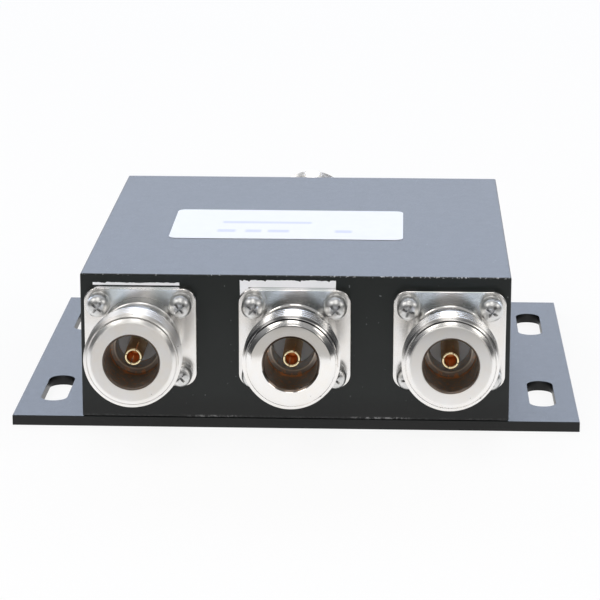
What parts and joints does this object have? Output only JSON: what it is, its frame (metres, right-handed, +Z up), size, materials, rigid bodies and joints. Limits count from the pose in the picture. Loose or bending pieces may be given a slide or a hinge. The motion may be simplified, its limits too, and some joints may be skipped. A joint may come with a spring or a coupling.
{
  "type": "rf power splitter",
  "caption": "Flat black metal box that divides a coaxial radio signal: input jack at the rear, output jacks in a row in front, base plate with slotted ears.",
  "frame": {"origin": "centre of the base plate's underside, which is also the bottom centre of the bounding box", "axes": "+Z up out of the box's top; +Y towards the input jack; the output jacks face -Y; X runs along the row of output jacks"},
  "size_m": [0.096, 0.1146, 0.0272],
  "materials": {
    "black_finish": "satin black paint on machined aluminium",
    "board_laminate": "glass laminate with raised copper track",
    "resistor_ceramic": "dark glazed ceramic",
    "screw_steel": "plated steel",
    "bright_nickel": "bright nickel plate on turned brass",
    "insulator_resin": "white fluoropolymer",
    "gold_plate": "gold plate",
    "label_paper": "white paper label"
  },
  "bodies": {
    "root": {"housing": "black_finish", "base_plate": "black_finish", "circuit_board": "board_laminate", "isolation_resistor_1": "resistor_ceramic", "isolation_resistor_2": "resistor_ceramic", "isolation_resistor_3": "resistor_ceramic", "isolation_resistor_4": "resistor_ceramic", "board_screw_1": "screw_steel", "board_screw_2": "screw_steel", "board_screw_3": "screw_steel", "board_screw_4": "screw_steel", "cover_screw_1": "screw_steel", "cover_screw_2": "screw_steel", "cover_screw_3": "screw_steel", "cover_screw_4": "screw_steel", "cover_screw_5": "screw_steel", "cover_screw_6": "screw_steel", "left_jack_body": "bright_nickel", "left_jack_insulator": "insulator_resin", "left_jack_contact": "gold_plate", "left_jack_screw_1": "screw_steel", "left_jack_screw_2": "screw_steel", "left_jack_screw_3": "screw_steel", "left_jack_screw_4": "screw_steel", "centre_jack_body": "bright_nickel", "centre_jack_insulator": "insulator_resin", "centre_jack_contact": "gold_plate", "centre_jack_screw_1": "screw_steel", "centre_jack_screw_2": "screw_steel", "centre_jack_screw_3": "screw_steel", "centre_jack_screw_4": "screw_steel", "right_jack_body": "bright_nickel", "right_jack_insulator": "insulator_resin", "right_jack_contact": "gold_plate", "right_jack_screw_1": "screw_steel", "right_jack_screw_2": "screw_steel", "right_jack_screw_3": "screw_steel", "right_jack_screw_4": "screw_steel", "input_jack_body": "bright_nickel", "input_jack_insulator": "insulator_resin", "input_jack_contact": "gold_plate", "input_jack_screw_1": "screw_steel", "input_jack_screw_2": "screw_steel", "input_jack_screw_3": "screw_steel", "input_jack_screw_4": "screw_steel", "top_label": "label_paper", "centre_port_label": "label_paper", "left_port_label": "label_paper"}
  },
  "joints": []
}
